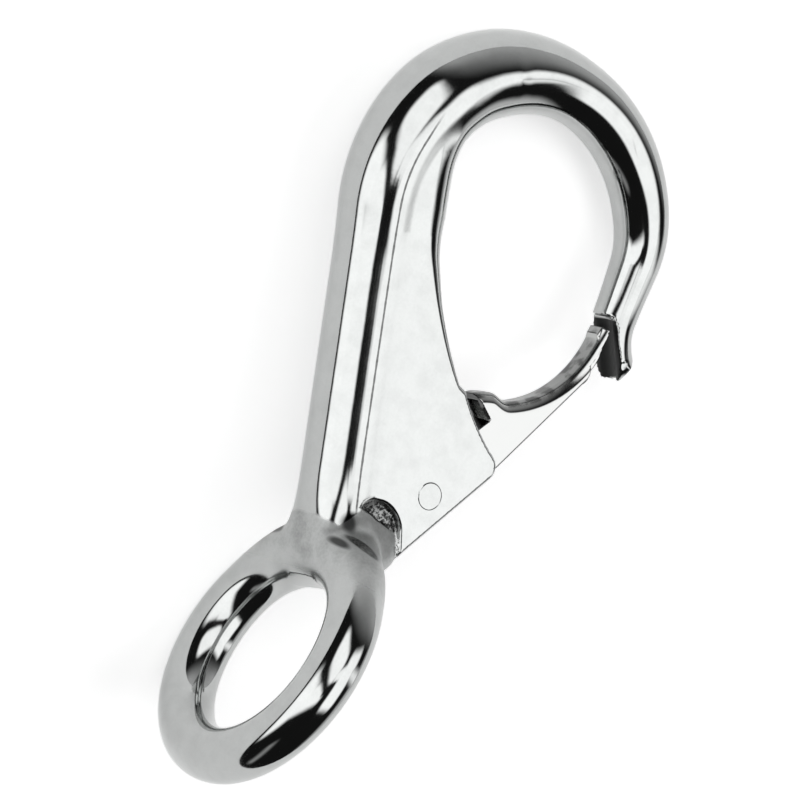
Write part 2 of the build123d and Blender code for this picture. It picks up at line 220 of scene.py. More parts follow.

# The way that the gate's fold faces, which sets its painted shade, and the part of its inside seen through
# the window, painted dark as shade
FOLD_LEAN = 130.0
INSIDE_HALVES = (3.2, 2.0)

# Where the casting's finishes and its painted shade marks begin and end, in millimetres
NECK_FINISH = (7.0, 13.5)
NECK_FINISH_EDGE = (-0.35, 0.35)
DISH_FINISH_EDGE = (-0.2, 0.1)
LOW_NOOK_HEIGHT = (4.0, 5.0)
NOOK_STRETCH = 1.3
CREASE_HEIGHT = (3.6, 3.9)
CREASE_START = (1.0, 3.0)
CREASE_END = (13.0, 9.0)
CREASE_SOFTNESS = (-0.05, 0.06)
BEAK_FACE_RUN = (0.1, 0.5)
BEAK_FACE_X = (15.0, 16.0)
BEAK_FACE_Y = (45.0, 47.0)

# How softly the painted shade marks end, as a share of their size
DISH_SOFTNESS = 0.12
DIMPLE_SOFTNESS = 0.22
NOOK_SOFTNESS = 0.5
INSIDE_SOFTNESS = 0.15

# Where the painted shade on the gate's outer edge and on its inside begins and ends, in millimetres
OUTER_EDGE_BAND = (-0.32, -0.18)
OUTER_EDGE_START = 0.5
INSIDE_HEIGHT = (1.98, 1.85)

# Sizes of the patches that make the finishes uneven, in millimetres
GRAIN = 0.35
PATCHES = 2.4
CLOUDS = 4.5
WAVES = 3.2
SHEEN = 5.0
SHEET_PATCHES = 1.6
SHEET_WAVES = 2.6
BRUSHING = 0.12
WIRE_GRAIN = 0.3

# Base colours, and how dark each metal's dark parts are; on the casting and the sheet the dark parts are
# mostly painted shade
CAST_COLOUR = (0.49, 0.50, 0.495)
CAST_DARKNESS = 0.05
PRESSED_COLOUR = (0.49, 0.495, 0.49)
PRESSED_DARKNESS = 0.15
WIRE_COLOUR = (0.46, 0.46, 0.45)
WIRE_DARKNESS = 0.6
METAL_RELIEF = 0.02
WIRE_RELIEF = 0.01

# The parts of the flat plane in which the nose's cut, the web and the foot's dish are worked out
NOSE_AREA = ((10.0, 40.0), (np.inf, 66.0))
WEB_AREA = ((-26.0, 12.0), (20.0, 80.0))
FOOT_AREA = ((-4.0, 17.0), (8.0, 25.0))
FAR_OFF = 50.0
GATE_OPEN_SIDE = 30.0
GATE_OPEN_END = 10.0

# Skins: the boxes they stand in, the size of their cells, and how they are smoothed
BODY_ROOM = ((-24.5, -18, -18), (22.5, 84, 18))
BODY_STEP = 0.37
GATE_ROOM = ((1, 21, -2.6), (20, 57.5, 2.6))
GATE_STEP = 0.17
SAMPLE = 0.25
BLOCK = 4
BLOCK_MARGIN = 1.3
BATCH = 200000
LEAST_SLOPE = 0.2
RELAXATION = 0.6


# ---------------------------------------------------------------- flat geometry

def polar(angle, radius=1.0):
    turn = math.radians(angle)
    return np.array((radius * math.cos(turn), radius * math.sin(turn)))


def angle_of(arm):
    return math.degrees(math.atan2(arm[1], arm[0]))


def unit(arm):
    return arm / np.linalg.norm(arm)


def right_of(arm):
    return np.array((arm[1], -arm[0]))


class FlatLine:
    """A straight piece of a flat centre line."""

    def __init__(self, start, end):
        self.start = start
        self.along = unit(end - start)
        self.length = np.linalg.norm(end - start)

    def nearest(self, flat):
        reach = np.clip((flat - self.start) @ self.along, 0, self.length)
        foot = self.start + reach[:, None] * self.along
        return np.linalg.norm(flat - foot, axis=1), reach


class FlatArc:
    """A round piece of a flat centre line, from one angle through a turn, positive to the left."""

    def __init__(self, centre, radius, first, turn):
        self.centre = centre
        self.radius = radius
        self.first = math.radians(first)
        self.turn = math.radians(turn)
        self.length = abs(self.turn) * radius

    def nearest(self, flat):
        arm = flat - self.centre
        sign = math.copysign(1, self.turn)
        whole = abs(self.turn)
        angle = np.mod(sign * (np.arctan2(arm[:, 1], arm[:, 0]) - self.first), 2 * math.pi)
        angle = np.where(angle > whole / 2 + math.pi, 0, np.minimum(angle, whole))
        at = self.first + sign * angle
        foot = self.centre + self.radius * np.stack((np.cos(at), np.sin(at)), 1)
        return np.linalg.norm(flat - foot, axis=1), angle * self.radius


def sagged(start, end, sag):
    """Points along an arc that passes that far to the left of its chord's middle."""
    chord = end - start
    length = np.linalg.norm(chord)
    left = -right_of(chord / length)
    share = np.linspace(-1, 1, max(4, int(length / SAMPLE)))
    radius = (length * length / 4 + sag * sag) / (2 * abs(sag))
    half = math.asin(min(1, length / 2 / radius))
    lift = radius * (np.cos(half * share) - math.cos(half)) * math.copysign(1, sag)
    run = radius * np.sin(half * share)
    middle = (start + end) / 2
    return middle + run[:, None] * chord / length + lift[:, None] * left


def through(points, first, last):
    """Points along a smooth curve through the given ones, with those directions at its ends."""
    slopes = [first] + [unit(b - a) for a, b in zip(points, points[2:])] + [last]
    found = []
    for start, end, leave, arrive in zip(points, points[1:], slopes, slopes[1:]):
        length = np.linalg.norm(end - start)
        t = np.linspace(0, 1, max(4, int(length / SAMPLE)))[:, None]
        found.append(
            start * (2 * t**3 - 3 * t**2 + 1)
            + leave * length * (t**3 - 2 * t**2 + t)
            + end * (3 * t**2 - 2 * t**3)
            + arrive * length * (t**3 - t**2)
        )
    return np.concatenate(found)


def offset(points, distance):
    """The points moved to the right of their run."""
    along = np.gradient(points, axis=0)
    along /= np.linalg.norm(along, axis=1)[:, None]
    return points + distance * np.stack((along[:, 1], -along[:, 0]), 1)


def closed(*runs):
    """One outline from several runs of points, without doubled points."""
    points = np.concatenate([np.atleast_2d(run) for run in runs])
    step = np.linalg.norm(points - np.roll(points, 1, axis=0), axis=1)
    return points[step > 1e-4]


def rounded_corner(before, corner, after, radius):
    """Points along the arc that rounds a corner."""
    back = unit(before - corner)
    on = unit(after - corner)
    half = math.acos(np.clip(back @ on, -1, 1)) / 2
    centre = corner + unit(back + on) * radius / math.sin(half)
    start = corner + back * radius / math.tan(half)
    end = corner + on * radius / math.tan(half)
    first = angle_of(start - centre)
    turn = (angle_of(end - centre) - first + 180) % 360 - 180
    return np.array([centre + polar(first + turn * share, radius) for share in np.linspace(0, 1, 14)])


# ---------------------------------------------------------------- distances to solids

def outline_distance(flat, outline):
    """How far each point is outside a closed outline; negative inside."""
    least = np.full(len(flat), 1e9)
    inside = np.zeros(len(flat), bool)
    x = flat[:, 0]
    y = flat[:, 1]
    for (ax, ay), (bx, by) in zip(outline, np.roll(outline, -1, axis=0)):
        ex = bx - ax
        ey = by - ay
        px = x - ax
        py = y - ay
        share = np.clip((px * ex + py * ey) / (ex * ex + ey * ey), 0, 1)
        least = np.minimum(least, (px - ex * share) ** 2 + (py - ey * share) ** 2)
        if ay != by:
            crosses = (y >= min(ay, by)) & (y < max(ay, by))
            inside ^= crosses & (px * (by - ay) < py * ex if by > ay else px * (by - ay) > py * ex)
    return np.where(inside, -1, 1) * np.sqrt(least)


def meet(a, b, ease):
    """The union of two solids with a fillet."""
    near = np.maximum(ease - np.abs(a - b), 0) / ease
    return np.minimum(a, b) - near**3 * ease / 6


def cut(a, b, ease):
    """The first solid without the second, with eased edges."""
    return -meet(-a, b, ease)


def plate(side, height, half, edge):
    """A plate of that half thickness with rounded rims, from the distance to its outline."""
    out = side + edge
    up = np.abs(height) - half + edge
    return np.minimum(np.maximum(out, up), 0) + np.hypot(np.maximum(out, 0), np.maximum(up, 0)) - edge


spine_along = polar(90 + SPINE_LEAN)
spine_across = polar(SPINE_LEAN)
crown_out = polar(CROWN_END)
bow_offset = (BOW_CENTRE - SPINE_FOOT) @ spine_across
crown_slant = crown_out @ spine_across
crown_bend = (bow_offset + BOW_RADIUS * crown_slant) / (1 + crown_slant)
crown_centre = BOW_CENTRE + crown_out * (BOW_RADIUS - crown_bend)
spine_top = crown_centre - spine_across * crown_bend
spine_run = float(np.linalg.norm(spine_top - SPINE_FOOT))
shoulder_centre = BOW_CENTRE + polar(SHOULDER_START, BOW_RADIUS - SHOULDER_BEND)
arm_top = shoulder_centre + polar(ARM_LEAN, SHOULDER_BEND)
arm_along = polar(ARM_LEAN - 90)
arm_across = polar(ARM_LEAN)
arm_end = arm_top + arm_along * ARM_LENGTH
flare_centre = arm_end + arm_across * FLARE_BEND
flare_turn = flare_centre - polar(FLARE_LEAN, FLARE_BEND)
flare_end = flare_turn + polar(FLARE_LEAN - 90, FLARE_LENGTH)
cheek_along = unit(CHEEK_CORNER - CHEEK_FOOT)
cheek_out = right_of(cheek_along)

BAR = (
    FlatLine(SPINE_FOOT, spine_top),
    FlatArc(crown_centre, crown_bend, 180 + SPINE_LEAN, CROWN_END - 180 - SPINE_LEAN),
    FlatArc(BOW_CENTRE, BOW_RADIUS, CROWN_END, SHOULDER_START - CROWN_END),
    FlatArc(shoulder_centre, SHOULDER_BEND, SHOULDER_START, ARM_LEAN - SHOULDER_START),
    FlatLine(arm_top, arm_end),
    FlatArc(flare_centre, FLARE_BEND, 180 + ARM_LEAN, FLARE_LEAN - ARM_LEAN),
    FlatLine(flare_turn, flare_end + polar(FLARE_LEAN - 90, FLARE_RADIUS)),
)
BAR_STARTS = np.concatenate(((0,), np.cumsum([piece.length for piece in BAR])))


def bar_station(piece, share):
    return BAR_STARTS[piece] + BAR[piece].length * share


BAR_RADII = (
    (0.0, SPINE_RADIUS),
    (bar_station(1, 0.0) - 4, SPINE_RADIUS),
    (bar_station(1, 0.26), 5.2),
    (bar_station(1, 0.64), CROWN_RADIUS),
    (bar_station(1, 1.0), 5.35),
    (bar_station(2, 0.35), 4.15),
    (bar_station(2, 0.71), 3.75),
    (bar_station(2, 1.0), SHOULDER_RADIUS),
    (bar_station(3, 1.0), ARM_RADIUS),
    (bar_station(4, 1.0), ARM_END_RADIUS),
    (bar_station(5, 1.0), FLARE_RADIUS),
    (BAR_STARTS[-1], FLARE_RADIUS),
)
bar_run = np.linspace(0, BAR_STARTS[-1], 500)
bar_plain = np.interp(bar_run, *zip(*BAR_RADII))
ease_weights = np.exp(-((bar_run[:, None] - bar_run) / BAR_SMOOTHING) ** 2)
bar_eased = ease_weights @ bar_plain / ease_weights.sum(1)


def bar(at):
    """The round bar from the spine's foot to the nose, before the nose is cut."""
    least = np.full(len(at), 1e9)
    station = np.zeros(len(at))
    for piece, start in zip(BAR, BAR_STARTS):
        away, along = piece.nearest(at[:, :2])
        nearer = away < least
        least[nearer] = away[nearer]
        station[nearer] = start + along[nearer]
    return np.hypot(least, at[:, 2]) - np.interp(station, bar_run, bar_eased)


# The nose: a step under a small ledge, a rounded beak and a scoop on its inner face
ledge = arm_end - arm_across * (ARM_END_RADIUS - LEDGE_DEPTH)
beak_along = polar(BEAK_LEAN - 90)
beak_in = polar(BEAK_LEAN + 180)
beak_tip = ledge + beak_along * BEAK_LENGTH
tip_side = beak_tip + polar(90 - BEAK_END_LEAN, BEAK_LENGTH)
below = np.array((0, -BOW_RADIUS))
beside = np.array((BOW_RADIUS, 0))
step_corner = ledge - arm_across * BOW_RADIUS
NOSE_STEP = np.array((
    ledge,
    beak_tip,
    tip_side,
    tip_side + beside,
    beak_tip + beside + below,
    step_corner + below,
    step_corner,
))


def nose_cut(at):
    """What is taken from the nose."""
    step = outline_distance(at[:, :2], NOSE_STEP)
    run = (at[:, :2] - ledge) @ beak_along
    rise = (at[:, :2] - ledge) @ beak_in
    tongue = np.hypot(run - BEAK_LENGTH + BEAK_END_ROUND, at[:, 2]) - BEAK_END_ROUND
    past = BEAK_LENGTH - BEAK_END_ROUND - run
    ends = np.maximum(-tongue, past)
    scoop = np.hypot(rise - SCOOP_RADIUS + SCOOP_DEPTH, at[:, 2]) - SCOOP_RADIUS
    scoop = np.maximum(scoop, SCOOP_DEPTH - run)
    return meet(meet(step, ends, STEP_EDGE), scoop, SCOOP_EDGE)


crown_chord = [
    crown_centre + polar(angle, crown_bend)
    for angle in np.linspace(180 + SPINE_LEAN, WEB_TIP_ANGLE, 30)
]
web_tip = BOW_CENTRE + polar(WEB_TIP_ANGLE, BOW_RADIUS)
web_flat_edge = through([web_tip, *WEB_FLAT_EDGE], polar(WEB_TIP_ANGLE + 90), polar(WEB_FLAT_LEAN))
cheek_top_edge = sagged(CHEEK_TOP, CHEEK_CORNER, -CHEEK_EDGE_SAG)
foot_edge = sagged(WEB_FOOT, WEB_FOOT_END, -WEB_FOOT_SAG)
WEB_OUTLINE = closed(
    SPINE_FOOT,
    spine_top,
    crown_chord,
    web_flat_edge,
    cheek_top_edge[4:-12],
    rounded_corner(cheek_top_edge[-13], CHEEK_CORNER, CHEEK_FOOT, CHEEK_CORNER_ROUND),
    CHEEK_FOOT,
    foot_edge,
)


def web(at):
    """The flat side of the spine and the cheeks, with a rim that grows rounder towards the crown."""
    edge = np.interp(at[:, 1], *zip(*WEB_RIM_ROUNDS))
    side = outline_distance(at[:, :2], WEB_OUTLINE) + WEB_EDGE_ROUND
    half = np.interp((at[:, :2] - SPINE_FOOT) @ spine_along, *zip(*WEB_HALVES))
    return plate(side - edge, at[:, 2], half, edge)


def dish(at):
    """The rough hollow on each face between the web and the neck."""
    x, y = (at[:, :2] - DISH_CENTRE).T
    up = np.abs(at[:, 2]) - WEB_HALF_THICKNESS - DISH_LIFT
    spread = np.sqrt((x / DISH_HALF_LENGTH) ** 2 + (y / DISH_RISE) ** 2 + (up / DISH_DEPTH) ** 2)
    return np.maximum((spread - 1) * DISH_DEPTH, -y)


def eye(at):
    """The ring, thicker towards its top."""
    turn = np.degrees(np.abs(np.arctan2(at[:, 2], at[:, 1])))
    swell = 0.5 + 0.5 * np.cos(np.pi * np.minimum(turn / SWELL_ANGLE, 1))
    centre = EYE_RADIUS + SWELL_RISE * swell
    radius = EYE_STOCK_RADIUS + (SWELL_RADIUS - EYE_STOCK_RADIUS) * swell
    return np.hypot(np.hypot(at[:, 1], at[:, 2]) - centre, at[:, 0]) - radius


neck_run = np.linspace(NECK_LEVELS[0, 0], NECK_LEVELS[-1, 0], 120)
neck_weights = np.exp(-((neck_run[:, None] - neck_run) / NECK_SMOOTHING) ** 2)
neck_eased = [
    neck_weights @ np.interp(neck_run, NECK_LEVELS[:, 0], NECK_LEVELS[:, i]) / neck_weights.sum(1)
    for i in (1, 2, 3)
]


def neck(at):
    """The rounded block between the ring and the spine."""
    shift, width, depth = (np.interp(at[:, 1], neck_run, eased) for eased in neck_eased)
    edge = NECK_ROUND * np.minimum(width, depth)
    block = plate(np.abs(at[:, 0] - shift) - width, at[:, 2], depth, edge)
    ends = np.maximum(NECK_LEVELS[0, 0] - at[:, 1], at[:, 1] - NECK_LEVELS[-1, 0])
    return np.maximum(block, ends)


def turned(point, angle):
    """A flat point carried round the pivot, counter-clockwise as seen from the front."""
    cos, sin = polar(angle)
    x, y = point - PIN_CENTRE
    return PIN_CENTRE + np.array((x * cos - y * sin, x * sin + y * cos))


throat_arm = GATE_THROAT - PIN_CENTRE
ear_lean = math.degrees(math.acos(EAR_RADIUS / np.linalg.norm(throat_arm)))
ear_touch = PIN_CENTRE + polar(angle_of(throat_arm) + ear_lean, EAR_RADIUS)
inner_edge = unit(GATE_THROAT - ear_touch)
stop = -right_of(inner_edge) * STOP_GAP
floor_foot = turned(ear_touch + stop, GATE_TRAVEL)
floor_top = turned(GATE_THROAT + stop + inner_edge * EAR_RADIUS * 2, GATE_TRAVEL)
slot_room = EAR_RADIUS + SLOT_GAP
slot_below = PIN_CENTRE - cheek_along * slot_room
SLOT_OUTLINE = np.array((
    floor_top,
    floor_foot,
    slot_below,
    slot_below + cheek_out * EYE_RADIUS,
    CHEEK_CORNER + (cheek_out + cheek_along) * EYE_RADIUS,
    floor_top + cheek_along * EYE_RADIUS,
))


def slot(at):
    """The space between the cheeks."""
    side = outline_distance(at[:, :2], SLOT_OUTLINE)
    side = np.minimum(side, np.linalg.norm(at[:, :2] - PIN_CENTRE, axis=1) - slot_room)
    return plate(side, at[:, 2], SLOT_HALF_WIDTH, SLOT_ROUND)


def within(at, low, high):
    """Which points stand in a box of the flat plane."""
    return np.all((at[:, :2] > low) & (at[:, :2] < high), axis=1)


def hook_body(at):
    """The whole casting, for each of many points."""
    spine = bar(at)
    nose = within(at, NOSE_AREA[0], NOSE_AREA[1])
    spine[nose] = cut(spine[nose], nose_cut(at[nose]), NOSE_EDGE)
    near = within(at, WEB_AREA[0], WEB_AREA[1])
    flat = np.full(len(at), FAR_OFF)
    flat[near] = web(at[near])
    hollow = np.full(len(at), FAR_OFF)
    hollow[near] = slot(at[near])
    found = meet(eye(at), neck(at), NECK_FILLET)
    whole = meet(meet(found, spine, SPINE_FILLET), flat, WEB_FILLET)
    foot = within(at, FOOT_AREA[0], FOOT_AREA[1])
    whole[foot] = cut(whole[foot], dish(at[foot]), DISH_EDGE)
    sides = cut(whole, hollow, SLOT_EDGE)
    return np.where(hollow < SLOT_NEAR, meet(sides, spine, FINE_EDGE), whole)


# ---------------------------------------------------------------- the gate

hump_end = unit(sagged(GATE_DIP, GATE_TIP, -GATE_SAG)[1] - GATE_DIP)
gate_rise = sagged(GATE_DIP, GATE_TIP, -GATE_SAG)
gate_hump = through([GATE_THROAT, GATE_HUMP, GATE_DIP], inner_edge, hump_end)
fold_foot = ear_touch + inner_edge * FOLD_START
inner_run = closed(fold_foot, GATE_THROAT, gate_hump, gate_rise)
flange_rise = gate_rise[: int(len(gate_rise) * FLANGE_END_SHARE)]
gate_outer_end = GATE_HEEL + polar(90 - GATE_OUTER_LEAN, GATE_OUTER_LENGTH)
heel_arm = GATE_HEEL - PIN_CENTRE
heel_angle = angle_of(heel_arm) - math.degrees(math.acos(EAR_RADIUS / np.linalg.norm(heel_arm)))
ear_end = angle_of(ear_touch - PIN_CENTRE)
ear_arc = [
    PIN_CENTRE + polar(angle, EAR_RADIUS) for angle in np.linspace(heel_angle, ear_end - 360, 40)
]
FLANGE_OUTLINE = closed(
    ear_touch,
    GATE_THROAT,
    gate_hump,
    flange_rise,
    sagged(flange_rise[-1], gate_outer_end, FLANGE_END_SAG),
    GATE_HEEL,
    ear_arc,
)
FOLD_OUTLINE = closed(inner_run, offset(inner_run, SHEET)[::-1])
far = GATE_OPEN_SIDE * cheek_out
before_ear = ear_touch - GATE_OPEN_END * inner_edge
past_tip = GATE_TIP + GATE_OPEN_END * unit(gate_rise[-1] - gate_rise[-2])
INNER_SIDE = closed(before_ear, inner_run, past_tip, past_tip + far, before_ear + far)
inset_lip = CURL_LIP + np.array((-SHEET, -SHEET))
inset_end = CURL_END + np.array((-SHEET, 0))
CURL_OUTLINE = closed(
    sagged(GATE_TIP, CURL_LIP, CURL_LIP_SAG),
    sagged(CURL_LIP, CURL_END, CURL_SAG),
    sagged(inset_end, inset_lip, -CURL_SAG),
    GATE_TIP - np.array((0, SHEET)),
)
window_along = polar(WINDOW_LEAN)
window_down = polar(WINDOW_LEAN + 90)


def gate(at):
    """The pressed sheet gate, for each of many points."""
    flat = at[:, :2]
    height = at[:, 2]
    side = np.minimum(outline_distance(flat, FLANGE_OUTLINE), outline_distance(flat, FOLD_OUTLINE))
    inner = outline_distance(flat, INNER_SIDE)
    blank = np.maximum(
        plate(side, height, GATE_HALF_WIDTH, SHEET_EDGE_ROUND),
        plate(inner, height, GATE_HALF_WIDTH, FOLD_ROUND),
    )
    hollow = plate(inner + SHEET, height, GATE_HALF_WIDTH - SHEET, SHEET_EDGE_ROUND)
    before_fold = np.maximum((flat - fold_foot) @ inner_edge, np.abs(height) - GATE_HALF_WIDTH + SHEET)
    sheet = cut(cut(blank, hollow, SHEET_INNER_EDGE), before_fold, SHEET_INNER_EDGE)
    curl = plate(outline_distance(flat, CURL_OUTLINE), height, GATE_HALF_WIDTH - SHEET, CURL_ROUND)
    sheet = meet(sheet, curl, CURL_FILLET)
    run = (flat - WINDOW_CORNER) @ window_along - WINDOW_LENGTH / 2
    drop = (flat - WINDOW_CORNER) @ window_down - WINDOW_HEIGHT / 2
    x = np.abs(run) - WINDOW_LENGTH / 2 + WINDOW_ROUND
    y = np.abs(drop) - WINDOW_HEIGHT / 2 + WINDOW_ROUND
    window = np.minimum(np.maximum(x, y), 0) + np.hypot(np.maximum(x, 0), np.maximum(y, 0)) - WINDOW_ROUND
    sheet = cut(sheet, window, WINDOW_EDGE)
    tab_x = np.abs(run + WINDOW_LENGTH / 2 + SHEET / 2) - SHEET / 2
    tab_y = np.abs(drop + WINDOW_HEIGHT / 2 - TAB_REACH / 2) - TAB_REACH / 2
    tab = plate(np.maximum(tab_x, tab_y), height, GATE_HALF_WIDTH - SHEET / 2, TAB_ROUND)
    sheet = meet(sheet, tab, FINE_EDGE)
    bore = np.linalg.norm(flat - PIN_CENTRE, axis=1) - PIN_RADIUS - GATE_FIT
    return cut(sheet, bore, FINE_EDGE)


# ---------------------------------------------------------------- skins

def slopes(shape, at, reach):
    """Which way the distance grows at each point, found by small steps along each axis."""
    found = np.empty_like(at)
    for axis in range(3):
        step = np.zeros(3)
        step[axis] = reach
        found[:, axis] = (shape(at + step) - shape(at - step)) / (2 * reach)
    return found


def field_of(shape, low, counts, step):
    """The distance at every grid point near the surface, worked out block by block."""
    blocks = [count // BLOCK + 1 for count in counts]
    places = np.stack(np.meshgrid(*[np.arange(n) for n in blocks], indexing="ij"), -1).reshape(-1, 3)
    middles = low + (places * BLOCK + (BLOCK - 1) / 2) * step
    rough = shape(middles)
    field = np.empty([n * BLOCK for n in blocks])
    spread = rough.reshape(blocks)
    for axis in range(3):
        spread = np.repeat(spread, BLOCK, axis=axis)
    field[:] = spread
    near = places[np.abs(rough) < BLOCK * step * BLOCK_MARGIN]
    inner = np.stack(np.meshgrid(*[np.arange(BLOCK)] * 3, indexing="ij"), -1).reshape(-1, 3)
    index = (near[:, None, :] * BLOCK + inner[None]).reshape(-1, 3)
    for part in np.array_split(index, max(1, len(index) // BATCH)):
        field[tuple(part.T)] = shape(low + part * step)
    return field


def skin(name, shape, low, high, step, relax=2):
    """A fine closed mesh over a solid's surface, with the solid's own normals."""
    low = np.asarray(low, float) - 2 * step
    counts = [int(math.ceil((high[i] - low[i]) / step)) + 3 for i in range(3)]
    field = field_of(shape, low, counts, step)
    inside = field < 0
    corners = np.stack(np.meshgrid(*[(0, 1)] * 3, indexing="ij"), -1).reshape(-1, 3)
    cells = [n - 1 for n in field.shape]
    windows = [tuple(slice(c, c + n) for c, n in zip(corner, cells)) for corner in corners]
    filled = sum(inside[window].astype(np.int8) for window in windows)
    mixed = (filled > 0) & (filled < 8)
    index = np.full(cells, -1)
    index[mixed] = np.arange(mixed.sum())
    place = np.argwhere(mixed)
    total = np.zeros((len(place), 3))
    crossings = np.zeros(len(place))
    for axis in range(3):
        for corner in corners[corners[:, axis] == 0]:
            end = corner.copy()
            end[axis] = 1
            a = field[tuple((place + corner).T)]
            b = field[tuple((place + end).T)]
            crosses = (a < 0) != (b < 0)
            share = np.where(crosses, a / np.where(crosses, a - b, 1), 0)
            total[crosses] += (place + corner + share[:, None] * (end - corner))[crosses]
            crossings += crosses
    points = low + total / crossings[:, None] * step
    quads = []
    for axis in range(3):
        u, v = (axis + 1) % 3, (axis + 2) % 3
        lower = [slice(1, -1)] * 3
        upper = [slice(1, -1)] * 3
        lower[axis] = slice(0, -1)
        upper[axis] = slice(1, None)
        a = inside[tuple(lower)]
        b = inside[tuple(upper)]
        for here, order in ((a & ~b, 1), (b & ~a, -1)):
            at = np.argwhere(here)
            at[:, u] += 1
            at[:, v] += 1
            ring = []
            for du, dv in ((0, 0), (1, 0), (1, 1), (0, 1)):
                cell = at.copy()
                cell[:, u] -= du
                cell[:, v] -= dv
                ring.append(index[tuple(cell.T)])
            quads.append(np.stack(ring[::order], 1))
    quads = np.concatenate(quads)

    def settle(points):
        distance = shape(points)
        slope = slopes(shape, points, step / 10)
        move = -slope * (distance / np.maximum((slope**2).sum(1), LEAST_SLOPE))[:, None]
        size = np.linalg.norm(move, axis=1)
        return points + move * np.minimum(1, step / np.maximum(size, 1e-9))[:, None]

    for _ in range(2):
        points = settle(points)
    for _ in range(relax):
        pull = np.zeros_like(points)
        degree = np.zeros(len(points))
        for a, b in ((0, 1), (1, 2), (2, 3), (3, 0)):
            np.add.at(pull, quads[:, a], points[quads[:, b]])
            np.add.at(degree, quads[:, a], 1)
            np.add.at(pull, quads[:, b], points[quads[:, a]])
            np.add.at(degree, quads[:, b], 1)
        points = settle(points + RELAXATION * (pull / degree[:, None] - points))
    normals = slopes(shape, points, step / 12)
    normals /= np.linalg.norm(normals, axis=1)[:, None]
    return solid_object(name, points, quads, normals)


# ---------------------------------------------------------------- placing

mounts = {mount["name"]: mount for mount in frame["record"]["mounts"]}
row_x = np.array(mounts["eye"]["axis"])
row_z = np.array(mounts["bow"]["axis"])
row_x /= np.linalg.norm(row_x)
row_z /= np.linalg.norm(row_z)
LAID = np.stack((row_x, np.cross(row_z, row_x), row_z), 1)
EYE_PLACE = np.array(mounts["eye"]["pos_m"])


def laid(points):
    """Points of the flat frame, in millimetres, carried to where the hook lies, in metres."""
    return EYE_PLACE + (points * MM) @ LAID.T


def laid_point(flat, height=0.0):
    return Vector(laid(np.array((flat[0], flat[1], height))))


def solid_object(name, points, faces, normals):
    """A mesh object laid down with the hook, with normals given for each vertex."""
    mesh = bpy.data.meshes.new(name)
    mesh.from_pydata(laid(points).tolist(), [], [list(map(int, face)) for face in faces])
    mesh.shade_smooth()
    if normals is not None:
        mesh.normals_split_custom_set_from_vertices((normals @ LAID.T).tolist())
    item = bpy.data.objects.new(name, mesh)
    bpy.context.scene.collection.objects.link(item)
    return item


body_skin = skin("cast_hook", hook_body, *BODY_ROOM, BODY_STEP)
gate_skin = skin("sheet_gate", gate, *GATE_ROOM, GATE_STEP)


def make_pin():
    """The pin, a lathed rod whose ends stand a hair proud of the cheeks with a small round edge."""
    half = WEB_HALF_THICKNESS + PIN_PROUD
    edge = [
        (
            PIN_RADIUS - PIN_EDGE_ROUND + PIN_EDGE_ROUND * math.sin(turn),
            half - PIN_EDGE_ROUND + PIN_EDGE_ROUND * math.cos(turn),
        )
        for turn in np.linspace(0, math.pi / 2, 7)
    ]
    profile = [(0.0, half), (PIN_RADIUS * 0.5, half)] + edge
    profile = profile + [(radius, -height) for radius, height in reversed(profile)]
    turns = 72
    points = [(PIN_CENTRE[0], PIN_CENTRE[1], profile[0][1])]
    for radius, height in profile[1:-1]:
        for turn in np.linspace(0, 2 * math.pi, turns, endpoint=False):
            x = PIN_CENTRE[0] + radius * math.cos(turn)
            y = PIN_CENTRE[1] + radius * math.sin(turn)
            points.append((x, y, height))
    points.append((PIN_CENTRE[0], PIN_CENTRE[1], profile[-1][1]))
    rings = len(profile) - 2
    faces = []
    for k in range(turns):
        on = (k + 1) % turns
        faces.append((0, 1 + k, 1 + on))
        last = 1 + (rings - 1) * turns
        faces.append((len(points) - 1, last + on, last + k))
        for ring in range(rings - 1):
            a = 1 + ring * turns
            faces.append((a + k, a + turns + k, a + turns + on, a + on))
    return solid_object("pivot_pin_ends", np.array(points), faces, None)


def make_spring():
    """The spring's wire, along its floor leg, its coil round the pin and its gate leg."""
    coil = PIN_RADIUS + SPRING_CLEARANCE + SPRING_WIRE / 2
    floor_lean = angle_of(inner_edge) + GATE_TRAVEL + FLOOR_LEG_LEAN
    first = floor_lean + 90
    contact = WINDOW_CORNER + window_down * TAB_CONTACT + window_along * (SPRING_WIRE / 2 + LEG_GAP)
    arm = contact - PIN_CENTRE
    last = angle_of(arm) - math.degrees(math.acos(coil / np.linalg.norm(arm)))
    whole = last + 360 * (SPRING_TURNS + 1) - first
    height = SPRING_PITCH * whole / 360
    route = [(*(PIN_CENTRE + polar(first, coil) + polar(floor_lean, FLOOR_LEG_LENGTH * share)), -height / 2)
             for share in np.linspace(1, 0, 8)]
    for share in np.linspace(0, 1, 150)[1:]:
        route.append((*(PIN_CENTRE + polar(first + whole * share, coil)), height * (share - 0.5)))
    end = PIN_CENTRE + polar(last, coil)
    route += [(*(end + (contact - end) * share), height / 2) for share in np.linspace(0, 1, 20)[1:]]
    route = np.array(route)
    along = np.gradient(route, axis=0)
    along /= np.linalg.norm(along, axis=1)[:, None]
    up = np.array((0.0, 0.0, 1.0))
    sides = np.cross(along, up)
    sides /= np.linalg.norm(sides, axis=1)[:, None]
    lifts = np.cross(sides, along)
    around = 14
    points = [
        route[i] + SPRING_WIRE / 2 * (math.cos(turn) * sides[i] + math.sin(turn) * lifts[i])
        for i in range(len(route))
        for turn in np.linspace(0, 2 * math.pi, around, endpoint=False)
    ]
    faces = [
        (
            i * around + k,
            i * around + (k + 1) % around,
            (i + 1) * around + (k + 1) % around,
            (i + 1) * around + k,
        )
        for i in range(len(route) - 1)
        for k in range(around)
    ]
    faces.append(tuple(range(around)))
    faces.append(tuple(reversed(range(len(points) - around, len(points)))))
    return solid_object("spring_wire", np.array(points), faces, None), height


pin_skin = make_pin()
spring_skin, spring_height = make_spring()


# ---------------------------------------------------------------- finishes

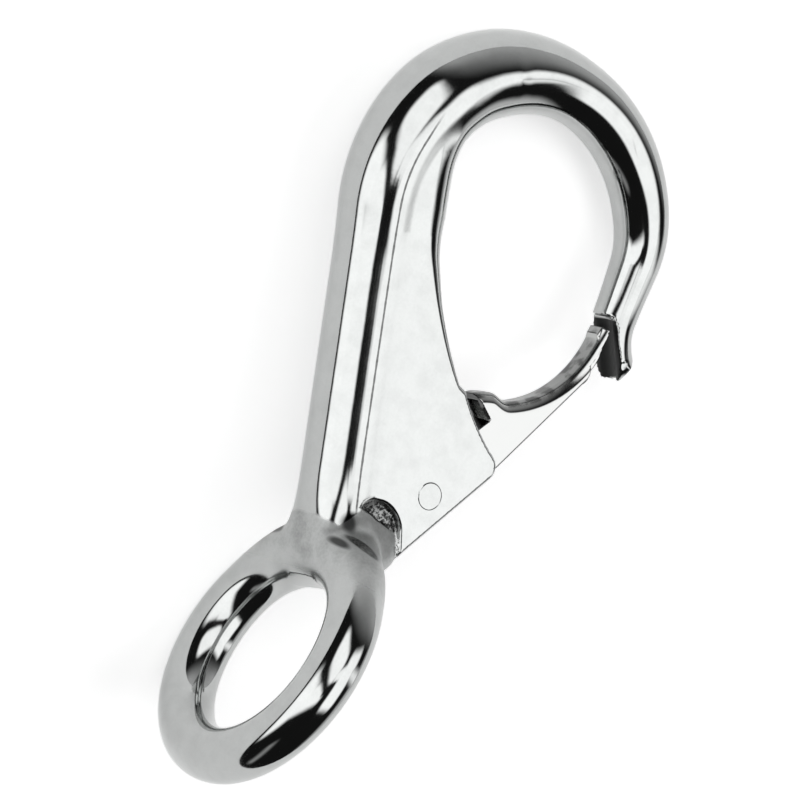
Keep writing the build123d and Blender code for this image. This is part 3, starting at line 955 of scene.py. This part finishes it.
class Value:
    """A socket that can be used in sums."""

    def __init__(self, nodes, socket):
        self.nodes = nodes
        self.socket = socket

    def math(self, operation, *others):
        return self.nodes.node("ShaderNodeMath", {"operation": operation}, (self, *others))

    def step(self, low, high):
        """Nought below the first level, one above the second, and smooth between them."""
        return self.nodes.node(
            "ShaderNodeMapRange",
            {"interpolation_type": "SMOOTHSTEP"},
            {"Value": self, "From Min": low, "From Max": high, "To Min": 0.0, "To Max": 1.0},
        )

    def __add__(self, other):
        return self.math("ADD", other)

    def __sub__(self, other):
        return self.math("SUBTRACT", other)

    def __mul__(self, other):
        return self.math("MULTIPLY", other)

    def __rsub__(self, other):
        return self.nodes.node("ShaderNodeMath", {"operation": "SUBTRACT"}, (other, self))

    __radd__ = __add__
    __rmul__ = __mul__


class Nodes:
    """A node tree, and the one way in which nodes are added to it."""

    def __init__(self, tree):
        self.tree = tree
        tree.nodes.clear()

    def node(self, kind, settings=None, inputs=(), output=0):
        made = self.tree.nodes.new(kind)
        for name, setting in (settings or {}).items():
            setattr(made, name, setting)
        named = inputs.items() if isinstance(inputs, dict) else enumerate(inputs)
        for key, given in named:
            if isinstance(given, Value):
                self.tree.links.new(given.socket, made.inputs[key])
            else:
                made.inputs[key].default_value = given
        return Value(self, made.outputs[output]) if len(made.outputs) else None


class Surface(Nodes):
    """A metal's node tree, with the place and the outward direction in the hook's flat frame."""

    def __init__(self, name):
        self.material = bpy.data.materials.new(name)
        self.material.use_nodes = True
        super().__init__(self.material.node_tree)
        self.place = self.node("ShaderNodeTexCoord", output="Object")
        facing = self.node("ShaderNodeTexCoord", output="Normal")
        self.x, self.y, self.z = (
            self.along(self.place, LAID[:, i] / MM) - float(EYE_PLACE @ LAID[:, i]) / MM for i in range(3)
        )
        self.face_x, self.face_y, self.face_z = (self.along(facing, LAID[:, i]) for i in range(3))

    def along(self, vector, way):
        settings = {"operation": "DOT_PRODUCT"}
        return self.node("ShaderNodeVectorMath", settings, (vector, tuple(map(float, way))), "Value")

    def noise(self, size, detail=3.0, stretch=None):
        """A cloud of patches of about that size in millimetres, drawn out along the hook if asked."""
        where = self.place
        scale = 1 / (size * MM)
        if stretch:
            parts = (self.x * (1 / size), self.y * (1 / (size * stretch)), self.z * (1 / size))
            where = self.node("ShaderNodeCombineXYZ", {}, parts)
            scale = 1.0
        return self.node("ShaderNodeTexNoise", {}, {"Vector": where, "Scale": scale, "Detail": detail})

    def disc(self, centre, half_x, half_y, lean, soft):
        """One inside an ellipse on either face, nought outside it."""
        cos, sin = polar(lean)
        across = ((self.x - centre[0]) * cos + (self.y - centre[1]) * sin) * (1 / half_x)
        upward = ((self.y - centre[1]) * cos - (self.x - centre[0]) * sin) * (1 / half_y)
        return (across * across + upward * upward).math("SQRT").step(1 + soft, 1 - soft)

    def finish(self, colour, dark, darkness, roughness, height, depth):
        """The metal, darker where dark is one, with height as its relief to that depth in mm."""
        shade = self.node(
            "ShaderNodeMix",
            {"data_type": "RGBA"},
            {"Factor": dark, 6: (*colour, 1), 7: (*[part * darkness for part in colour], 1)},
            2,
        )
        relief = self.node("ShaderNodeBump", {}, {"Height": height, "Distance": depth * MM, "Strength": 1.0})
        metal = self.node(
            "ShaderNodeBsdfPrincipled",
            {},
            {"Base Color": shade, "Metallic": 1.0, "Roughness": roughness, "Normal": relief},
        )
        self.node("ShaderNodeOutputMaterial", {}, {"Surface": metal})
        return self.material


def cast_metal():
    """Polished plated casting, left rough at the neck, in the foot's dish and under the beak, with painted
    shade in the dish, under the beak, along the spine's crease and in the neck's nooks, and random mottling
    elsewhere.
    """
    on = Surface("polished_casting")
    low_edge = ((on.x - SPINE_FOOT_EDGE[0]).math("MAXIMUM", 0.0) * SPINE_FOOT_SLOPE + SPINE_FOOT_EDGE[1])
    corner_edge = (on.x - WEB_FOOT[0]) * -WEB_CORNER_SLOPE + DISH_CENTRE[1]
    edge = low_edge.math("MINIMUM", float(DISH_CENTRE[1])).math("MINIMUM", corner_edge)
    fine = on.noise(GRAIN, 4.0)
    patchy = on.noise(PATCHES, 3.0)
    cloudy = on.noise(CLOUDS, 2.0)
    height_up = on.z.math("ABSOLUTE")
    neck_part = (edge - on.y).step(*NECK_FINISH_EDGE) * on.y.step(*NECK_FINISH)
    # The foot's dish is darkened as painted shade in the hollow, broken by a random mottle, and left rough.
    dish_side = (on.y - DISH_CENTRE[1]).step(*DISH_FINISH_EDGE)
    shaded_dish = on.disc(DISH_CENTRE, DISH_HALF_LENGTH, DISH_RISE, 0.0, DISH_SOFTNESS) * dish_side
    # Dark spots where the spine, neck and ring meet are painted shade in those hollows.
    dimple_shade = on.disc(DIMPLE_CENTRE, DIMPLE_HALF_LENGTH, DIMPLE_HALF_WIDTH, DIMPLE_LEAN, DIMPLE_SOFTNESS)
    nook_shade = on.disc(NOOK_CENTRE, NOOK_RADIUS, NOOK_RADIUS * NOOK_STRETCH, 0.0, NOOK_SOFTNESS)
    low_nook_shade = on.disc(LOW_NOOK_CENTRE, LOW_NOOK_RADIUS, LOW_NOOK_RADIUS, 0.0, NOOK_SOFTNESS)
    nook_shade = nook_shade.math("MAXIMUM", low_nook_shade * height_up.step(*LOW_NOOK_HEIGHT))
    # The beak's inward face in the scoop is darkened as painted shade, and left rough.
    run = (on.x - ledge[0]) * beak_along[0] + (on.y - ledge[1]) * beak_along[1]
    inward = on.face_x * beak_in[0] + on.face_y * beak_in[1]
    shaded_beak_face = inward.step(0.5, 0.8) * run.step(*BEAK_FACE_RUN)
    shaded_beak_face = shaded_beak_face * on.x.step(*BEAK_FACE_X) * on.y.step(*BEAK_FACE_Y)
    spots = patchy.step(0.38, 0.62) * 0.5 + fine.step(0.35, 0.65) * 0.5
    # A thin dark line along the seam of the spine's crest and the web is painted shade in that crease.
    arm_x = on.x - float(crown_centre[0])
    arm_y = on.y - float(crown_centre[1])
    bend = float(crown_bend) - (arm_x * arm_x + arm_y * arm_y).math("SQRT")
    along = (on.x - SPINE_FOOT[0]) * spine_along[0] + (on.y - SPINE_FOOT[1]) * spine_along[1]
    across = (on.x - SPINE_FOOT[0]) * spine_across[0] + (on.y - SPINE_FOOT[1]) * spine_across[1]
    bent = (along - spine_run).step(-0.5, 0.5)
    from_crest = across * (1 - bent) + bend * bent
    past = (along - spine_run - CREASE_VEER_START).math("MAXIMUM", 0.0)
    seam = (from_crest + CREASE_OFFSET + past * past * CREASE_VEER).math("ABSOLUTE")
    wander = CREASE_WIDTH + (on.noise(1.2) - 0.5) * CREASE_WIDTH
    crease_shade = (wander - seam).step(*CREASE_SOFTNESS) * along.step(*CREASE_START)
    crease_shade = crease_shade * (along - spine_run).step(*CREASE_END) * height_up.step(*CREASE_HEIGHT)
    # Dark parts: painted shade in the dish, the crease, the nooks and under the beak, with random mottling
    # on the neck and all over.
    dark = (
        (shaded_dish * (0.35 + fine.step(0.40, 0.56) * 0.65))
        .math("MAXIMUM", crease_shade * (0.6 + fine * 0.4))
        .math("MAXIMUM", dimple_shade * (0.62 + spots * 0.35))
        .math("MAXIMUM", nook_shade * 0.9)
        .math("MAXIMUM", shaded_beak_face)
        .math("MAXIMUM", neck_part * (spots * 0.2 + cloudy.step(0.45, 0.7) * 0.22))
        .math("MAXIMUM", patchy.step(0.35, 0.75) * 0.07 + fine * 0.08)
    )
    rough_part = neck_part.math("MAXIMUM", shaded_dish).math("MAXIMUM", shaded_beak_face)
    roughness = 0.055 + on.noise(SHEEN) * 0.03 + rough_part * 0.36
    height = on.noise(WAVES, 1.0) * 0.5 + fine * (0.04 + rough_part * 0.5)
    return on.finish(CAST_COLOUR, dark, CAST_DARKNESS, roughness, height, METAL_RELIEF)


def pressed_metal():
    """Plated sheet with faint rolling marks, duller round the fold, with painted shade on the fold's face,
    along the sheet's edges and on the inside seen through the window.
    """
    on = Surface("pressed_sheet")
    # The face of the fold that looks that way is darkened by its facing, as painted shade.
    fold_way = polar(FOLD_LEAN)
    facing = on.face_x * fold_way[0] + on.face_y * fold_way[1]
    shaded_fold = facing.step(0.4, 0.75)
    # A dark line along the sheet's edges, picked out by their facing, is painted shade.
    outer_way = right_of(polar(90 - GATE_OUTER_LEAN))
    window_middle = WINDOW_CORNER + window_along * WINDOW_LENGTH / 2 + window_down * WINDOW_HEIGHT / 2
    past_edge = (on.x - GATE_HEEL[0]) * outer_way[0] + (on.y - GATE_HEEL[1]) * outer_way[1]
    outer_edge_shade = past_edge.step(*OUTER_EDGE_BAND) * on.y.step(GATE_HEEL[1] - OUTER_EDGE_START, GATE_HEEL[1])
    painted_edge_shade = on.face_z.math("ABSOLUTE").step(0.985, 0.88) * facing.step(0.1, -0.1)
    # The inside seen through the window is painted dark, as shade.
    inside = on.disc(window_middle, *INSIDE_HALVES, WINDOW_LEAN, INSIDE_SOFTNESS)
    inside = inside * on.z.math("ABSOLUTE").step(*INSIDE_HEIGHT)
    patchy = on.noise(SHEET_PATCHES, 3.0)
    brushed = on.noise(BRUSHING, 2.0, stretch=12.0)
    dark = shaded_fold * (0.5 + patchy.step(0.42, 0.6) * 0.4)
    dark = dark.math("MAXIMUM", painted_edge_shade.math("MAXIMUM", outer_edge_shade) * 0.9).math("MAXIMUM", inside * 0.95)
    roughness = 0.07 + brushed * 0.06 + shaded_fold * 0.1
    height = on.noise(SHEET_WAVES, 1.0) * 0.4 + brushed * 0.03
    return on.finish(PRESSED_COLOUR, dark, PRESSED_DARKNESS, roughness, height, METAL_RELIEF)


def wire_metal():
    """Drawn steel wire, dull and a little uneven."""
    on = Surface("spring_steel")
    drawn = on.noise(WIRE_GRAIN, 3.0)
    roughness = 0.25 + drawn * 0.15
    return on.finish(WIRE_COLOUR, drawn.step(0.4, 0.7), WIRE_DARKNESS, roughness, drawn, WIRE_RELIEF)


CAST = cast_metal()
PRESSED = pressed_metal()
WIRE = wire_metal()
for item, material, slot_name, node in (
    (body_skin, CAST, "hook", "hook_body"),
    (gate_skin, PRESSED, "gate", "gate"),
    (pin_skin, CAST, "pin", "pivot_pin"),
    (spring_skin, WIRE, "spring", "gate_spring"),
):
    item.data.materials.append(material)
    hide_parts(node)
    frame["nodes"][node].data.materials.clear()
    frame["nodes"][node].data.materials.append(material)
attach(body_skin, "hook")
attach(pin_skin, "hook")
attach(gate_skin, "gate")
laid_point(PIN_CENTRE, -spring_height / 2)
laid_point(PIN_CENTRE, spring_height / 2)
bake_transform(spring_skin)


# ---------------------------------------------------------------- studio

FLOOR_RADIUS = 8.0
FLOOR_LIFT = 0.5
FLOOR_MIRRORED_LIFT = 0.40
FLOOR_GREY = 0.9
floor_mesh = bpy.data.meshes.new("studio_floor")
rim = [
    (FLOOR_RADIUS * math.cos(turn), FLOOR_RADIUS * math.sin(turn), 0.0)
    for turn in np.linspace(0, 2 * math.pi, 96, endpoint=False)
]
floor_mesh.from_pydata(rim, [], [tuple(range(len(rim)))])
studio_floor = bpy.data.objects.new("studio_floor", floor_mesh)
bpy.context.scene.collection.objects.link(studio_floor)
floor_material = bpy.data.materials.new("white_floor")
floor_material.use_nodes = True
nodes = Nodes(floor_material.node_tree)
matt = nodes.node("ShaderNodeBsdfDiffuse", {}, {"Color": (FLOOR_GREY, FLOOR_GREY, FLOOR_GREY, 1)})
ray = nodes.node("ShaderNodeLightPath", output="Is Camera Ray")
gloss = Value(nodes, ray.socket.node.outputs["Is Glossy Ray"])
glass = Value(nodes, ray.socket.node.outputs["Is Transmission Ray"])
mirrored = gloss.math("MAXIMUM", glass) * FLOOR_MIRRORED_LIFT
glow = nodes.node("ShaderNodeEmission", {}, {"Color": (1, 1, 1, 1), "Strength": ray * FLOOR_LIFT + mirrored})
lit = nodes.node("ShaderNodeAddShader", {}, (matt, glow))
nodes.node("ShaderNodeOutputMaterial", {}, {"Surface": lit})
floor_mesh.materials.append(floor_material)

world = bpy.data.worlds.new("studio")
bpy.context.scene.world = world
world.use_nodes = True
nodes = Nodes(world.node_tree)

# Softboxes over the table: place and half size on a flat map of the sky, lean, corner, edge, strength.
# On that map the middle is straight up, the rim is the horizon, and equal areas are equal sky.
SOFTBOXES = (
    (-0.30, 0.30, 0.30, 0.19, -24.0, 0.14, 0.05, 1.85),
    (0.37, 0.06, 0.24, 0.23, 8.0, 0.10, 0.05, 1.9),
    (0.38, 0.32, 0.22, 0.12, 6.0, 0.09, 0.06, 1.85),
    (0.10, 0.19, 0.17, 0.07, 20.0, 0.05, 0.035, 1.8),
    (0.78, 0.20, 0.22, 0.05, -8.0, 0.05, 0.05, 1.6),
    (-0.52, -0.15, 0.42, 0.16, 22.0, 0.08, 0.06, 1.9),
    (-0.82, -0.28, 0.22, 0.38, -22.0, 0.12, 0.08, 1.95),
    (-0.03, -0.86, 0.26, 0.05, -50.0, 0.05, 0.08, 0.45),
)
# Black flags between the softboxes, written in the same way
FLAGS = (
    (-0.04, 0.02, 0.15, 0.055, 25.0, 0.04, 0.02, 1.0),
    (-0.43, 0.07, 0.34, 0.05, -14.0, 0.04, 0.03, 1.0),
)
ROOM = 0.012
WALL = 0.6
SIDE_WALL = 0.8


def sky_light(nodes):
    """The strength of the studio's light from each direction."""
    way = nodes.node("ShaderNodeTexCoord", output="Generated")
    parts = nodes.node("ShaderNodeSeparateXYZ", {}, (way,))
    x = Value(nodes, parts.socket.node.outputs["X"])
    y = Value(nodes, parts.socket.node.outputs["Y"])
    z = Value(nodes, parts.socket.node.outputs["Z"])
    scale = (z.math("MAXIMUM", -0.99) + 1.0).math("SQRT")
    u = x.math("DIVIDE", scale)
    v = y.math("DIVIDE", scale)
    total = nodes.node("ShaderNodeValue")
    total.socket.default_value = ROOM
    lamps = nodes.node("ShaderNodeValue")
    lamps.socket.default_value = 0.0

    def pane(cx, cy, half_u, half_v, lean, corner, edge, strength):
        cos, sin = polar(lean)
        across = ((u - cx) * cos + (v - cy) * sin).math("ABSOLUTE") - (half_u - corner)
        upward = ((v - cy) * cos - (u - cx) * sin).math("ABSOLUTE") - (half_v - corner)
        out = across.math("MAXIMUM", 0.0)
        up = upward.math("MAXIMUM", 0.0)
        inner = across.math("MAXIMUM", upward).math("MINIMUM", 0.0)
        away = (out * out + up * up).math("SQRT") + inner - corner
        return away.step(edge, -edge) * strength

    for box in SOFTBOXES:
        lamps = lamps.math("MAXIMUM", pane(*box))
    for flag in FLAGS:
        lamps = lamps * (1 - pane(*flag))
    total = total.math("MAXIMUM", lamps * z.step(0.05, 0.16))
    low = nodes.node(
        "ShaderNodeMapRange",
        {"interpolation_type": "SMOOTHSTEP"},
        {"Value": z, "From Min": 0.5, "From Max": 0.0, "To Min": 0.55, "To Max": 1.0},
    )
    wall = nodes.node(
        "ShaderNodeMapRange",
        {"interpolation_type": "SMOOTHSTEP"},
        {"Value": v + u * 0.15, "From Min": 0.5, "From Max": 0.8, "To Min": 0.0, "To Max": WALL},
    )
    side = nodes.node(
        "ShaderNodeMapRange",
        {"interpolation_type": "SMOOTHSTEP"},
        {"Value": u, "From Min": 0.8, "From Max": 0.95, "To Min": 0.0, "To Max": SIDE_WALL},
    )
    return total.math("MAXIMUM", wall * low).math("MAXIMUM", side)


sky = nodes.node("ShaderNodeBackground", {}, {"Color": (1, 1, 1, 1), "Strength": sky_light(nodes)})
nodes.node("ShaderNodeOutputWorld", {}, {"Surface": sky})

# Camera, a long lens looking down on the hook as it lies
VIEW_AZIMUTH = -83.535
VIEW_ELEVATION = 61.816
VIEW_ROLL = 118.35
VIEW_AIM = np.array((-1.651, 34.433))
VIEW_DISTANCE = 1.6
VIEW_WIDTH = 95.58

azimuth, elevation = math.radians(VIEW_AZIMUTH), math.radians(VIEW_ELEVATION)
back = Vector((
    math.sin(azimuth) * math.cos(elevation),
    -math.cos(azimuth) * math.cos(elevation),
    math.sin(elevation),
))
turn = (-back).to_track_quat("-Z", "Y").to_matrix() @ Matrix.Rotation(math.radians(VIEW_ROLL), 3, "Z")
lens = bpy.data.cameras.new("camera")
lens.sensor_width = 36.0
lens.lens = lens.sensor_width * VIEW_DISTANCE / (VIEW_WIDTH * MM)
lens.clip_start = 0.05
lens.clip_end = 50.0
camera = bpy.data.objects.new("camera", lens)
bpy.context.scene.collection.objects.link(camera)
camera.matrix_world = Matrix.Translation(laid_point(VIEW_AIM) + back * VIEW_DISTANCE) @ turn.to_4x4()
bpy.context.scene.camera = camera
bpy.context.scene.view_settings.view_transform = "Standard"
